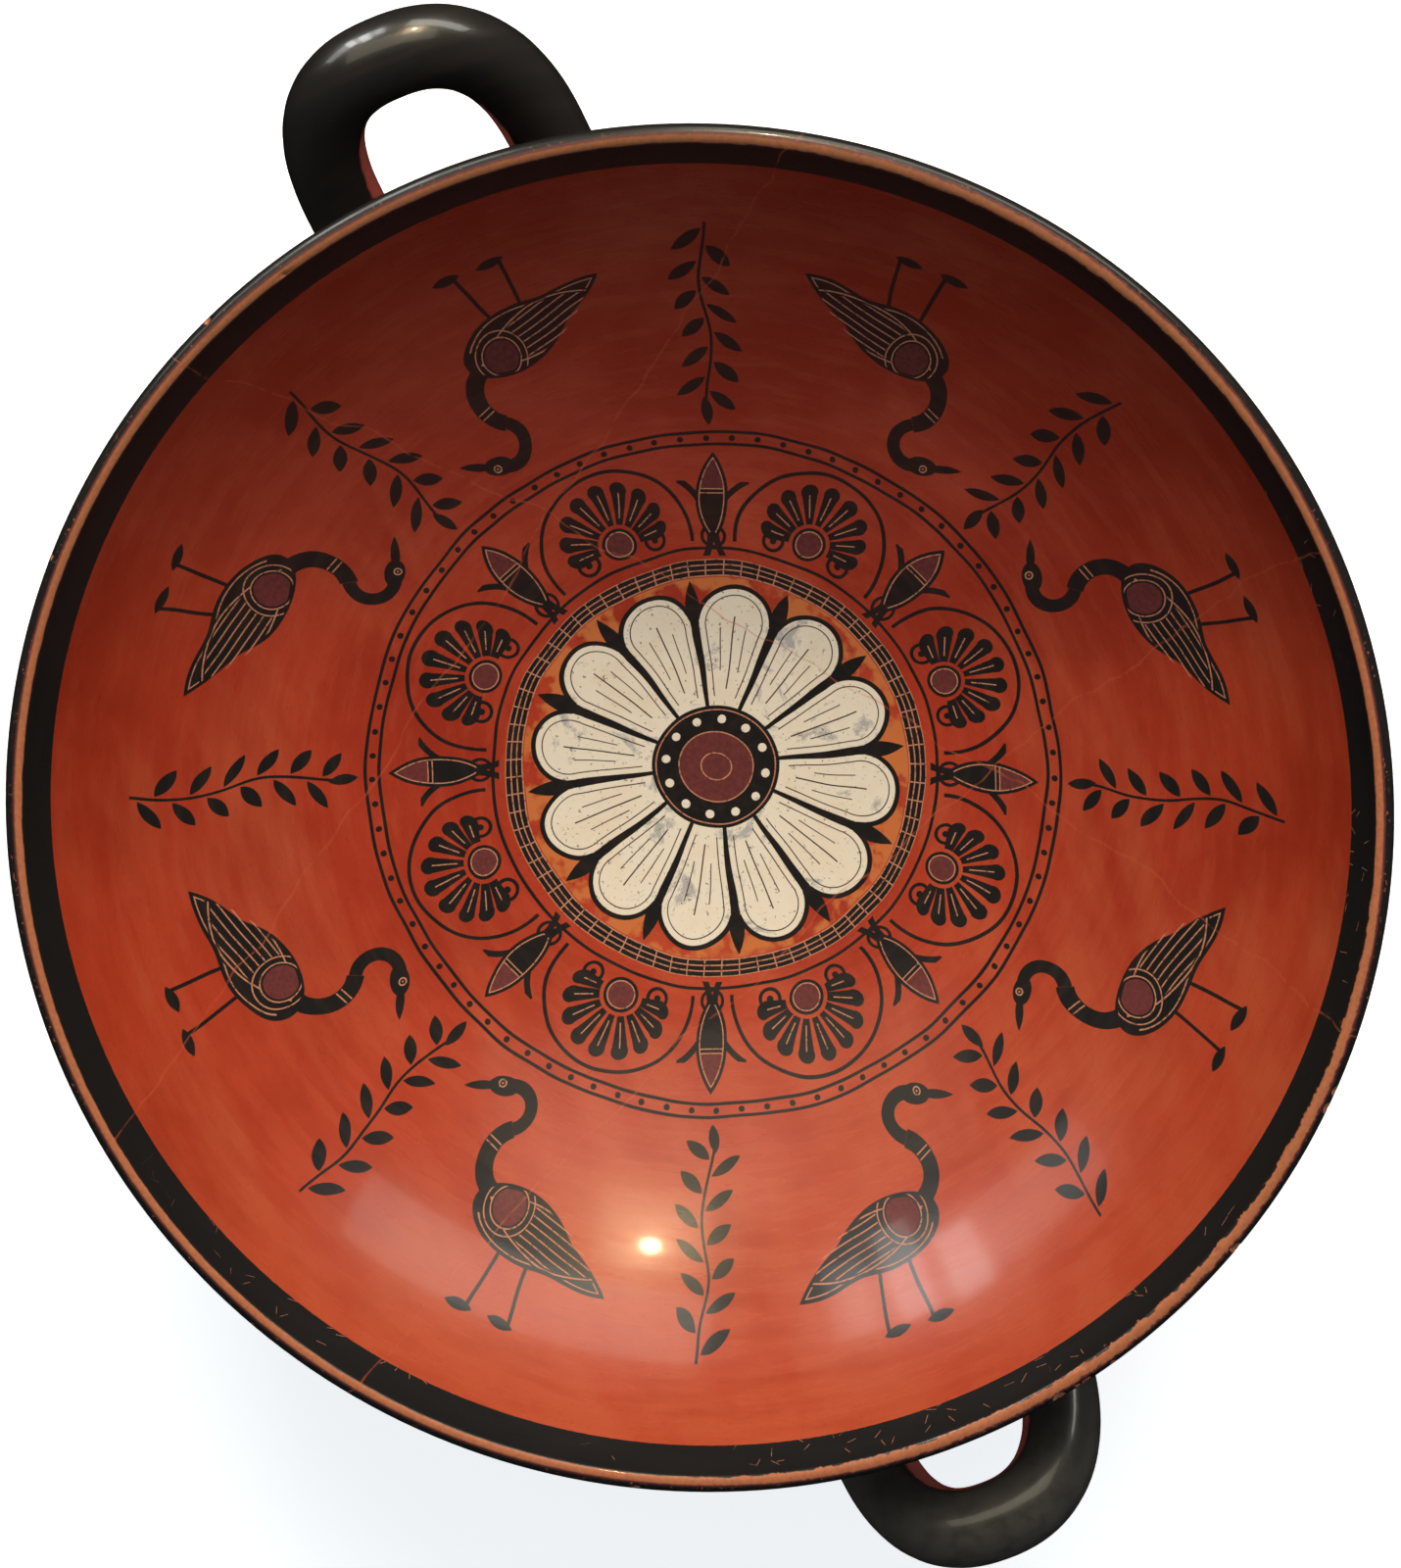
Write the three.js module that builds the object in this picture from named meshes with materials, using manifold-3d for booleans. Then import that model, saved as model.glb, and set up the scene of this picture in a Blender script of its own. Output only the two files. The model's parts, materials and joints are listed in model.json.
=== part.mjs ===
// A Greek drinking cup (kylix) of type A in fired clay: a wide, deep bowl on a short flaring foot, with two
// loop handles that leave the lower bowl and curve up to just below the lip. The potter throws the bowl and
// the foot, joins them and the handles with wet clay and fires them as one, so the cup is one solid.
// Millimetres, +Z up. The origin is the centre of the ring that the foot stands on; the handles lie along X.

import * as THREE from "three";
import { mergeVertices } from "three/addons/utils/BufferGeometryUtils.js";
import Module from "manifold-3d";

const wasm = await Module();
wasm.setup();

// ---- Driving dimensions ----
const HEIGHT = 136; // foot to lip
const RIM_RADIUS = 152.5; // widest line of the lip's rounded outer edge
const BOWL_DEPTH = 86; // lip to the middle of the floor, inside
const MOUTH_RADIUS = 148.3; // where the flat crest of the lip turns down into the bowl
const LIP_SLOPE = THREE.MathUtils.degToRad(66); // inner wall just under the lip, from the horizontal
const LIP_DROP = 1.9; // the lip's widest line lies this far below its crest
const CREST_OUTER_RADIUS = 150.3; // where the crest rolls over into the outer edge
const FLOOR_THICKNESS = 6;

const FOOT_RADIUS = 63;
const FOOT_EDGE_HEIGHT = 9.5; // the upright edge of the foot disc
const RING_OUTER_RADIUS = 61.5; // the ring that touches the table
const RING_INNER_RADIUS = 54;
const STEM_RADIUS = 23; // narrowest place of the stem
const STEM_TOP = 41.5; // where the stem meets the fillet
const STEM_BOTTOM = 33; // where it starts to flare
const FILLET_RADIUS = 27; // small raised ring between stem and bowl
const HOLLOW_TOP = 30; // top of the hollow under the foot

const HANDLE_RADIUS = 9.17; // of the round handle rod
const HANDLE_TIP_REACH = 180.5; // rod's centre at the outermost place, from the cup's axis
const HANDLE_TIP_DROP = 24.5; // and below the lip
const HANDLE_TIP_SLOPE = THREE.MathUtils.degToRad(56); // rise of the rod's run at the tip
const LOOP_SIDE_RADIUS = 98; // arc of the loop's rise, seen from the side
const ELBOW_SIDE_RADIUS = 60; // arc of the arms below the loop, until they are level
const LOOP_HALF_WIDTH = 24.5; // centre of the loop to the centre of each arm
const LOOP_LENGTH = 40; // tip to where the two arms start
const LOOP_POWER = 2.34; // 2 is an ellipse, more is squarer
const ARM_LENGTH = 90; // loop to the arm's end, well inside the wall
const ARM_SPLAY = 7; // how far each arm has moved outwards by then
const ROOT_SWELL = 1.5; // how much thicker the rod is where it is smoothed into the wall
const SWELL_OUTER = 119; // distance from the cup's axis at which the rod starts to thicken
const SWELL_INNER = 84; // and at which it is thickest

const LATHE_SEGMENTS = 60;
const ROD_SIDES = 12;
const ROD_STEPS = 34;

// ---- Worked out from the driving dimensions ----
// Inner wall: an elliptic arc from the floor's middle to the mouth, with the given slope at the mouth.
const mouthCosine = 1 / ((Math.tan(LIP_SLOPE) * MOUTH_RADIUS) / BOWL_DEPTH - 1);
const mouthAngle = Math.acos(mouthCosine);
const innerHalfWidth = MOUTH_RADIUS / Math.sin(mouthAngle);
const innerHalfDepth = BOWL_DEPTH / (1 - mouthCosine);
const arcCentreHeight = HEIGHT - BOWL_DEPTH + innerHalfDepth;
// Outer wall: an arc about the same centre, a wall's thickness further out.
const outerHalfDepth = innerHalfDepth + FLOOR_THICKNESS;
const rimCosine = (arcCentreHeight - HEIGHT + LIP_DROP) / outerHalfDepth;
const outerHalfWidth = RIM_RADIUS / Math.sqrt(1 - rimCosine ** 2);
const rimAngle = Math.acos(rimCosine);

const point = (radius, height) => new THREE.Vector2(radius, height);

// Points of an elliptic arc about the bowl's centre, from one angle to another, measured from straight down.
function bowlArc(halfWidth, halfDepth, from, to, steps) {
  const points = [];
  for (let i = 0; i <= steps; i++) {
    const angle = from + ((to - from) * i) / steps;
    points.push(point(halfWidth * Math.sin(angle), arcCentreHeight - halfDepth * Math.cos(angle)));
  }
  return points;
}

// Points of a smooth curve through a few stations, without its first point.
const smoothThrough = (stations, steps) => new THREE.SplineCurve(stations).getPoints(steps).slice(1);

// ---- Geometry helpers ----
function solidOf(geometry) {
  geometry.deleteAttribute("normal");
  geometry.deleteAttribute("uv");
  const merged = mergeVertices(geometry, 1e-4);
  return new wasm.Manifold(
    new wasm.Mesh({
      numProp: 3,
      vertProperties: merged.attributes.position.array,
      triVerts: new Uint32Array(merged.index.array),
    }),
  );
}

function geometryOf(solid) {
  const mesh = solid.getMesh();
  const geometry = new THREE.BufferGeometry();
  geometry.setAttribute("position", new THREE.BufferAttribute(mesh.vertProperties, 3));
  geometry.setIndex(new THREE.BufferAttribute(mesh.triVerts, 1));
  geometry.computeVertexNormals();
  return geometry;
}

// A lathe turns about Y, so it is stood up along Z. The profile runs from the axis's foot to its top.
function turned(profile) {
  return new THREE.LatheGeometry(profile, LATHE_SEGMENTS).rotateX(Math.PI / 2);
}

// ---- Bowl, stem and foot, turned in one ----
function cupProfile() {
  const hollow = [
    point(0, HOLLOW_TOP),
    point(9, HOLLOW_TOP - 4),
    point(22, 13.5),
    point(40, 5.5),
    point(RING_INNER_RADIUS, 0),
  ];
  const underside = smoothThrough(hollow, 8);
  const footEdge = [
    point(RING_OUTER_RADIUS, 0),
    point(FOOT_RADIUS, 1.6),
    point(FOOT_RADIUS, FOOT_EDGE_HEIGHT - 1.2),
    point(FOOT_RADIUS - 1.4, FOOT_EDGE_HEIGHT),
  ];
  const flare = [
    point(FOOT_RADIUS - 1.4, FOOT_EDGE_HEIGHT),
    point(43, 14),
    point(28.5, 22),
    point(STEM_RADIUS, STEM_BOTTOM),
  ];
  const footTop = smoothThrough(flare, 8);
  const fillet = [
    point(STEM_RADIUS, STEM_TOP - 2),
    point(STEM_RADIUS + 0.8, STEM_TOP),
    point(FILLET_RADIUS, STEM_TOP + 0.4),
    point(FILLET_RADIUS + 0.4, STEM_TOP + 1.6),
    point(FILLET_RADIUS, STEM_TOP + 2.8),
  ];
  const bowlStart = Math.asin((FILLET_RADIUS + 1) / outerHalfWidth);
  const outside = bowlArc(outerHalfWidth, outerHalfDepth, bowlStart, rimAngle, 13);
  const lip = [
    point(RIM_RADIUS - 0.5, HEIGHT - 0.75),
    point(CREST_OUTER_RADIUS, HEIGHT),
  ];
  const inside = bowlArc(innerHalfWidth, innerHalfDepth, mouthAngle, 0, 14);
  inside[inside.length - 1].x = 0;
  const below = [hollow[0], ...underside, ...footEdge, ...footTop, ...fillet];
  return [...below, ...outside, ...lip, ...inside];
}

// A filled copy of the bowl down to the middle of its wall. It trims the handles' roots.
function wallCore() {
  const halfWidth = (innerHalfWidth + outerHalfWidth) / 2;
  const halfDepth = (innerHalfDepth + outerHalfDepth) / 2;
  const arc = bowlArc(halfWidth, halfDepth, 0, mouthAngle, 20);
  arc[0].x = 0;
  return solidOf(turned([...arc, point(0, HEIGHT + 1)]));
}

// ---- Handles ----
// Follows an arc inwards and down, in the side view, from a place with a given rise.
function alongArc({ reach, height, rise }, radius, run) {
  const endRise = rise - run / radius;
  return {
    reach: reach - radius * (Math.sin(rise) - Math.sin(endRise)),
    height: height - radius * (Math.cos(endRise) - Math.cos(rise)),
    rise: endRise,
  };
}

// Centre line of a handle's side view: the loop's arc, the elbow's arc, then level into the wall.
const tip = { reach: HANDLE_TIP_REACH, height: HEIGHT - HANDLE_TIP_DROP, rise: HANDLE_TIP_SLOPE };
const loopFoot = alongArc(tip, LOOP_SIDE_RADIUS, LOOP_LENGTH);
const elbowLength = ELBOW_SIDE_RADIUS * loopFoot.rise;
const elbowFoot = alongArc(loopFoot, ELBOW_SIDE_RADIUS, elbowLength);

// A point of that line. Run is the distance from the tip along either arm.
function rodPoint(run, sideways) {
  if (run < LOOP_LENGTH) {
    const place = alongArc(tip, LOOP_SIDE_RADIUS, run);
    return new THREE.Vector3(place.reach, sideways, place.height);
  }
  const elbowRun = Math.min(run - LOOP_LENGTH, elbowLength);
  const place = alongArc(loopFoot, ELBOW_SIDE_RADIUS, elbowRun);
  return new THREE.Vector3(place.reach - (run - LOOP_LENGTH - elbowRun), sideways, place.height);
}

const armOffset = (run) => LOOP_HALF_WIDTH + ARM_SPLAY * ((run - LOOP_LENGTH) / ARM_LENGTH) ** 2;

function rodCurve() {
  const armStations = 6;
  const arm = [];
  for (let i = armStations; i >= 1; i--) {
    const run = LOOP_LENGTH + (ARM_LENGTH * i) / armStations;
    arm.push([run, armOffset(run)]);
  }
  const loopStations = 16;
  const loop = [];
  for (let i = 0; i <= loopStations; i++) {
    const angle = (Math.PI * i) / loopStations;
    const across = Math.sign(Math.cos(angle)) * Math.abs(Math.cos(angle)) ** (2 / LOOP_POWER);
    const along = Math.abs(Math.sin(angle)) ** (2 / LOOP_POWER);
    loop.push([LOOP_LENGTH * (1 - along), LOOP_HALF_WIDTH * across]);
  }
  const otherArm = arm.map(([run, sideways]) => [run, -sideways]).reverse();
  const points = [...arm, ...loop, ...otherArm].map(([run, sideways]) => rodPoint(run, sideways));
  return new THREE.CatmullRomCurve3(points, false, "centripetal");
}

// Thickens the level stretch of each arm towards the wall, about its centre line.
function swellRoots(geometry) {
  const position = geometry.getAttribute("position");
  for (let i = 0; i < position.count; i++) {
    const [x, y, z] = [position.getX(i), position.getY(i), position.getZ(i)];
    if (x > SWELL_OUTER) continue;
    const share = Math.min((SWELL_OUTER - x) / (SWELL_OUTER - SWELL_INNER), 1);
    const swell = 1 + (ROOT_SWELL - 1) * share ** 2;
    const offset = Math.sign(y) * armOffset(LOOP_LENGTH + elbowLength + elbowFoot.reach - x);
    position.setXYZ(i, x, offset + (y - offset) * swell, elbowFoot.height + (z - elbowFoot.height) * swell);
  }
}

function handle() {
  const section = new THREE.Shape();
  for (let i = 0; i < ROD_SIDES; i++) {
    const angle = (2 * Math.PI * i) / ROD_SIDES;
    const [x, y] = [HANDLE_RADIUS * Math.cos(angle), HANDLE_RADIUS * Math.sin(angle)];
    if (i) section.lineTo(x, y);
    else section.moveTo(x, y);
  }
  const rod = new THREE.ExtrudeGeometry(section, { steps: ROD_STEPS, extrudePath: rodCurve() });
  swellRoots(rod);
  return solidOf(rod).subtract(wallCore());
}

// ---- The cup ----
const oneHandle = handle();
const otherHandle = oneHandle.rotate([0, 0, 180]);
const cup = solidOf(turned(cupProfile())).add(oneHandle).add(otherHandle);

const firedClay = new THREE.MeshStandardMaterial({ color: 0x8a2a14, roughness: 0.35, metalness: 0 });
const kylix = new THREE.Mesh(geometryOf(cup), firedClay);
kylix.name = "kylix";

const part = new THREE.Group();
part.add(kylix);

export default part;
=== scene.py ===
import json
import math
import random

import bmesh
import bpy
from mathutils import Matrix, Vector, kdtree

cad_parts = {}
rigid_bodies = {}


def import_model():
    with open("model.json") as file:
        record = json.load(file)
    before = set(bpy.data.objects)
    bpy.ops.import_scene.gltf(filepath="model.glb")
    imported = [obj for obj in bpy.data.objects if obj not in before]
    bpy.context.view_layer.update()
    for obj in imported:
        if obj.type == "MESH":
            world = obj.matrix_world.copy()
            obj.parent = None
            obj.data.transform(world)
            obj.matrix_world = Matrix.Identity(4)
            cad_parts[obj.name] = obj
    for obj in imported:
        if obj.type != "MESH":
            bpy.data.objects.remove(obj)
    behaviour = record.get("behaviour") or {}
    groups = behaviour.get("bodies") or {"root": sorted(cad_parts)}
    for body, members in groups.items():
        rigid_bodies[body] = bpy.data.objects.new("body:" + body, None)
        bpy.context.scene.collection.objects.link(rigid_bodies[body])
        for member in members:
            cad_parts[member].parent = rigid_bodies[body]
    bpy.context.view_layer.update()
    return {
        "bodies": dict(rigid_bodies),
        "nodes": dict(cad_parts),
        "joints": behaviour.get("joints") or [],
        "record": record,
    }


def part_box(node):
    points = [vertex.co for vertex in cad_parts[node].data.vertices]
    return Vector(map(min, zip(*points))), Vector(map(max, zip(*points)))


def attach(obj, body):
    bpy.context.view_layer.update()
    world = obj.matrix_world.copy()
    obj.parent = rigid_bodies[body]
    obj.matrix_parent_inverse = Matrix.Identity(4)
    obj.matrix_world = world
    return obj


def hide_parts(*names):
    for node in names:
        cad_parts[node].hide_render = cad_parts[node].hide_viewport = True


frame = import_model()
CUP_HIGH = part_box("kylix")[1]

bl_info = {
    "name": "Painted Kylix",
    "version": (1, 0, 0),
    "blender": (4, 5, 0),
    "location": "3D View > Sidebar > Kylix",
    "description": "Throws, joins, paints and lights a two-handled Greek drinking cup",
    "category": "Object",
}

MM = 0.001
TINY = 1e-6
FULL_TURN = 2 * math.pi

# The cup's surfaces, in the order of its material slots.
SURFACES = ("rosette", "palmettes", "birds", "mouth", "outside", "handles", "foot", "breaks")


# ---------------------------------------------------------------- settings

def length(name, description, millimetres):
    return bpy.props.FloatProperty(
        name=name, description=description, default=millimetres * MM, unit="LENGTH", precision=5
    )


def colour(name, description, value):
    return bpy.props.FloatVectorProperty(
        name=name, description=description, default=value, subtype="COLOR", min=0, max=1
    )


def number(name, description, value):
    return bpy.props.FloatProperty(name=name, description=description, default=value)


class KylixShape(bpy.types.PropertyGroup):
    """Sizes of the clay"""

    height: length("Height", "Foot to lip", CUP_HIGH.z / MM)
    rim_radius: length("Rim radius", "Widest line of the lip", CUP_HIGH.y / MM)
    bowl_depth: length("Bowl depth", "Lip to the middle of the floor, inside", 86)
    mouth_radius: length("Mouth radius", "Where the crest of the lip turns down into the bowl", 148.6)
    crest_radius: length("Crest radius", "Highest line of the lip", 149.9)
    lip_drop: length("Lip drop", "Crest down to the lip's widest line", 1.9)
    floor: length("Floor", "Thickness of the bowl's floor", 6)
    foot_radius: length("Foot radius", "Radius of the foot disc", 63)
    foot_edge: length("Foot edge", "Height of the foot disc's upright edge", 9.5)
    stem_radius: length("Stem radius", "Narrowest place of the stem", 23)
    stem_top: length("Stem top", "Height at which the stem meets its ring", 41.5)
    ring_radius: length("Ring radius", "Raised ring between stem and bowl", 27)
    handle_radius: length("Handle radius", "Of the round handle rod", 9.17)
    tip_reach: length("Tip reach", "Cup's axis to the rod's centre at the tip", 180.20)
    tip_drop: length("Tip drop", "Lip down to the rod's centre at the tip", 24.5)
    loop_half_width: length("Loop half width", "Middle of the loop to the middle of an arm", 24.5)
    loop_length: length("Loop length", "Tip to where the arms start", 40)


class KylixPaint(bpy.types.PropertyGroup):
    """Colours of the clay, the slips and the light of the stage"""

    coral: colour("Coral red", "Glossy red slip of the inside", (0.39, 0.040, 0.0135))
    coral_dark: colour("Coral shade", "Where that slip lies thick", (0.25, 0.018, 0.006))
    coral_light: colour("Coral light", "Where it is brushed thin", (0.46, 0.090, 0.034))
    orange: colour("Orange wash", "Thin slip round the rosette", (0.52, 0.155, 0.038))
    black: colour("Black gloss", "Fired black slip", (0.013, 0.0115, 0.0105))
    # Painted shade: the browner, greyer coral laid on the side away from the key light, and into the black
    # there.
    coral_shaded: colour("Smoked coral", "Coral slip browned in the kiln", (0.31, 0.072, 0.040))
    # Rubbed black slip painted olive as a sheen, on the far handle's tip.
    black_sheeny: colour("Dull black", "Black slip rubbed to a dull olive", (0.048, 0.042, 0.034))
    black_thin: colour("Thin black", "Where that slip is brushed thin", (0.034, 0.021, 0.015))
    clay: colour("Clay", "Bare fired clay", (0.43, 0.135, 0.050))
    white: colour("White", "Added cream white", (0.70, 0.61, 0.46))
    smudge: colour("Smudge", "Grey stains on the white", (0.27, 0.27, 0.25))
    purple: colour("Purple red", "Added purple-red", (0.14, 0.028, 0.024))
    incised: colour("Incised line", "Lines scratched down to the clay", (0.47, 0.19, 0.10))


class KylixStage(bpy.types.PropertyGroup):
    """The camera and the studio around the cup"""

    view_azimuth: number("View azimuth", "Degrees round the cup to the camera", -44.1)
    view_elevation: number("View elevation", "Degrees up to the camera", 79.15)
    view_distance: number("View distance", "Metres from the target to the camera", 0.7727)
    top_azimuth: number("Top azimuth", "Degrees round from +X of the picture's top", -22.5)
    lens: number("Lens", "Focal length in millimetres on a 36 mm sensor", 81.38)
    floor_colour: colour("Floor", "Colour of the floor", (0.92, 0.92, 0.91))
    floor_glow: number("Floor glow", "How far the floor lightens its own shadows", 0.7)
    sky_colour: colour("Sky", "Colour of the light from all round", (0.76, 0.88, 1.0))
    sky_strength: number("Sky strength", "Strength of the light from all round", 0.36)


# ---------------------------------------------------------------- outline of the clay

def direction(azimuth, elevation):
    """A unit vector. The azimuth turns from +X towards +Y, both in degrees."""
    a, e = math.radians(azimuth), math.radians(elevation)
    return Vector((math.cos(a) * math.cos(e), math.sin(a) * math.cos(e), math.sin(e)))


def arc_points(centre, half_width, half_height, start, end, steps):
    """Points (radius, height) on an ellipse. Angles are in radians, from straight down."""
    points = []
    for i in range(steps + 1):
        angle = start + (end - start) * i / steps
        points.append((
            centre[0] + half_width * math.sin(angle),
            centre[1] - half_height * math.cos(angle),
        ))
    return points


def smooth_through(stations, steps):
    """Points on a Catmull-Rom curve through a few stations."""
    points = []
    spans = len(stations) - 1
    for i in range(steps + 1):
        place = min(spans * i / steps, spans - 1e-9)
        k = int(place)
        t = place - k
        corners = [Vector(stations[min(max(k + j, 0), spans)]) for j in (-1, 0, 1, 2)]
        before, here, there, after = corners
        slope_here = (there - before) / 2
        slope_there = (after - here) / 2
        points.append(tuple(
            here * (2 * t**3 - 3 * t**2 + 1) + slope_here * (t**3 - 2 * t**2 + t)
            + there * (3 * t**2 - 2 * t**3) + slope_there * (t**3 - t**2)
        ))
    return points


class Bowl:
    """The two elliptic arcs of the bowl's wall."""

    LIP_SLOPE = math.radians(66)

    def __init__(self, shape):
        cosine = 1 / (math.tan(self.LIP_SLOPE) * shape.mouth_radius / shape.bowl_depth - 1)
        self.mouth_angle = math.acos(cosine)
        self.inner_width = shape.mouth_radius / math.sin(self.mouth_angle)
        self.inner_depth = shape.bowl_depth / (1 - cosine)
        self.centre = shape.height - shape.bowl_depth + self.inner_depth
        self.outer_depth = self.inner_depth + shape.floor
        rim_cosine = (self.centre - shape.height + shape.lip_drop) / self.outer_depth
        self.rim_angle = math.acos(rim_cosine)
        self.outer_width = shape.rim_radius / math.sqrt(1 - rim_cosine**2)

    def depth_into_wall(self, place):
        """How far a place lies inside the outer surface, roughly; negative outside it."""
        across = math.hypot(place.x, place.y) / self.outer_width
        down = (self.centre - place.z) / self.outer_depth
        return (1 - math.hypot(across, down)) * self.outer_depth


ZONE_RADII = {"rosette": 52 * MM, "palmettes": 83.5 * MM, "birds": 134 * MM}


def inside_profile(shape, bowl):
    """From the lip down to the middle of the floor, with a point at each painted zone's edge."""
    radii = [shape.mouth_radius - 0.7 * MM, *sorted(ZONE_RADII.values(), reverse=True), 0]
    steps = (7, 24, 14, 20)
    points = []
    for outer, inner, share in zip(radii, radii[1:], steps):
        start = math.asin(outer / bowl.inner_width)
        end = math.asin(inner / bowl.inner_width)
        points += arc_points((0, bowl.centre), bowl.inner_width, bowl.inner_depth, start, end, share)[:-1]
    return [*points, (0, bowl.centre - bowl.inner_depth)]


STEM_FOOT = 33 * MM  # height at which the stem starts to flare

# The lip's rounded top, from outside to inside: millimetres out from the mouth, and down from the crest.
LIP_STEPS = (
    (3.5, 1.2), (3.1, 0.76), (2.6, 0.40), (2.1, 0.16), (1.6, 0.03), (1.1, 0), (0.65, 0.06), (0.25, 0.22),
    (-0.1, 0.48), (-0.35, 0.78), (-0.55, 1.13),
)


def cup_profile(shape, bowl):
    """From the middle of the hollow underside, round the outside and the lip, to the middle of the floor."""
    height = shape.height
    foot = shape.foot_radius
    edge = shape.foot_edge
    hollow = [
        (radius * MM, level * MM) for radius, level in ((0, 30), (9, 26), (22, 13.5), (40, 5.5), (54, 0.35))
    ]
    underside = smooth_through(hollow, 20)
    resting_ring = arc_points((54.9 * MM, 0.9 * MM), 0.9 * MM, 0.9 * MM, -0.6, 0, 2)
    resting_edge = arc_points((foot - 1.5 * MM, 1.6 * MM), 1.5 * MM, 1.6 * MM, 0, math.pi / 2, 4)
    top_edge = arc_points((foot - 1.4 * MM, edge - 1.2 * MM), 1.4 * MM, 1.2 * MM, math.pi / 2, math.pi, 4)
    flare = [(43 * MM, 14 * MM), (28.5 * MM, 22 * MM), (shape.stem_radius, STEM_FOOT)]
    foot_top = smooth_through([(foot - 1.4 * MM, edge), *flare], 20)[1:]
    stem_end = (shape.stem_radius, shape.stem_top - 1 * MM)
    ring_middle = (shape.ring_radius - 1.2 * MM, shape.stem_top + 1.6 * MM)
    ring = arc_points(ring_middle, 1.6 * MM, 1.6 * MM, 0.25, math.pi - 0.6, 8)
    bowl_start = math.asin((shape.ring_radius + 0.6 * MM) / bowl.outer_width)
    outside = arc_points(
        (0, bowl.centre), bowl.outer_width, bowl.outer_depth, bowl_start, bowl.rim_angle, 46
    )
    lip = [(shape.mouth_radius + out * MM, height - down * MM) for out, down in LIP_STEPS]
    return [
        *underside, *resting_ring, *resting_edge, *top_edge, *foot_top, stem_end, *ring, *outside, *lip,
        *inside_profile(shape, bowl),
    ]


# ---------------------------------------------------------------- the cup's mesh

TURN_STEPS = 240


def surface_of(radius, height, faces_up, shape):
    """The name of the surface that a place on the turned cup belongs to."""
    floor_height = shape.height - shape.bowl_depth
    if faces_up and height > floor_height - 1 * MM and radius < shape.mouth_radius - 1 * MM:
        for name, outer in ZONE_RADII.items():
            if radius < outer:
                return name
        return "mouth"
    if height > shape.height - 9 * MM:
        return "mouth"
    if height > shape.stem_top + 3 * MM:
        return "outside"
    return "foot"


def turn_outline(outline, steps):
    """Spins an outline of (radius, height) points round the cup's axis into a closed shape."""
    bm = bmesh.new()
    verts = [bm.verts.new((radius, 0, height)) for radius, height in outline]
    for lower, upper in zip(verts, verts[1:]):
        bm.edges.new((lower, upper))
    bmesh.ops.spin(
        bm, geom=bm.verts[:] + bm.edges[:], cent=(0, 0, 0), axis=(0, 0, 1), dvec=(0, 0, 0),
        angle=FULL_TURN, steps=steps, use_merge=True, use_duplicate=False,
    )
    bmesh.ops.remove_doubles(bm, verts=bm.verts, dist=0.01 * MM)
    bmesh.ops.recalc_face_normals(bm, faces=bm.faces)
    return bm


def throw_cup(shape, bowl):
    """Turns the bowl, stem and foot, and gives each face its surface."""
    bm = turn_outline(cup_profile(shape, bowl), TURN_STEPS)
    for face in bm.faces:
        middle = face.calc_center_median()
        name = surface_of(middle.xy.length, middle.z, face.normal.z > 0, shape)
        face.material_index = SURFACES.index(name)
    return bm


def all_of_surface(bm, name):
    for face in bm.faces:
        face.material_index = SURFACES.index(name)
    return bm


CHIP_COUNT = 9
CHIPPED_SIDE, CHIPPED_SPREAD = 202, 13  # degrees from +X
OUTER_SHARE = 0.75  # of the chips, on the outer edge


def lip_chips(shape):
    """Small ragged lumps set round the lip's edges. They are cut out of the cup."""
    bm = bmesh.new()
    rng = random.Random(7)
    places = [(rng.uniform(0, 360), rng.uniform(1.0, 1.9)) for _ in range(CHIP_COUNT)]
    places += [(rng.gauss(CHIPPED_SIDE, CHIPPED_SPREAD), rng.uniform(1.3, 2.8)) for _ in range(CHIP_COUNT)]
    for azimuth, size in places:
        outer = rng.random() < OUTER_SHARE
        edge_radius = shape.rim_radius - 0.5 * MM if outer else shape.mouth_radius + 0.1 * MM
        drop = 0.9 * MM if outer else 0.1 * MM
        outwards = direction(azimuth, 35 if outer else 120)
        bite = size * rng.uniform(0.25, 0.4) * MM
        middle = direction(azimuth, 0) * edge_radius + Vector((0, 0, shape.height - drop))
        middle += outwards * (size * MM - bite)
        lump = bmesh.ops.create_icosphere(
            bm, subdivisions=2, radius=size * MM, matrix=Matrix.Translation(middle)
        )
        for vert in lump["verts"]:
            vert.co = middle + (vert.co - middle) * rng.uniform(0.82, 1.12)
    return all_of_surface(bm, "breaks")


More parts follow.
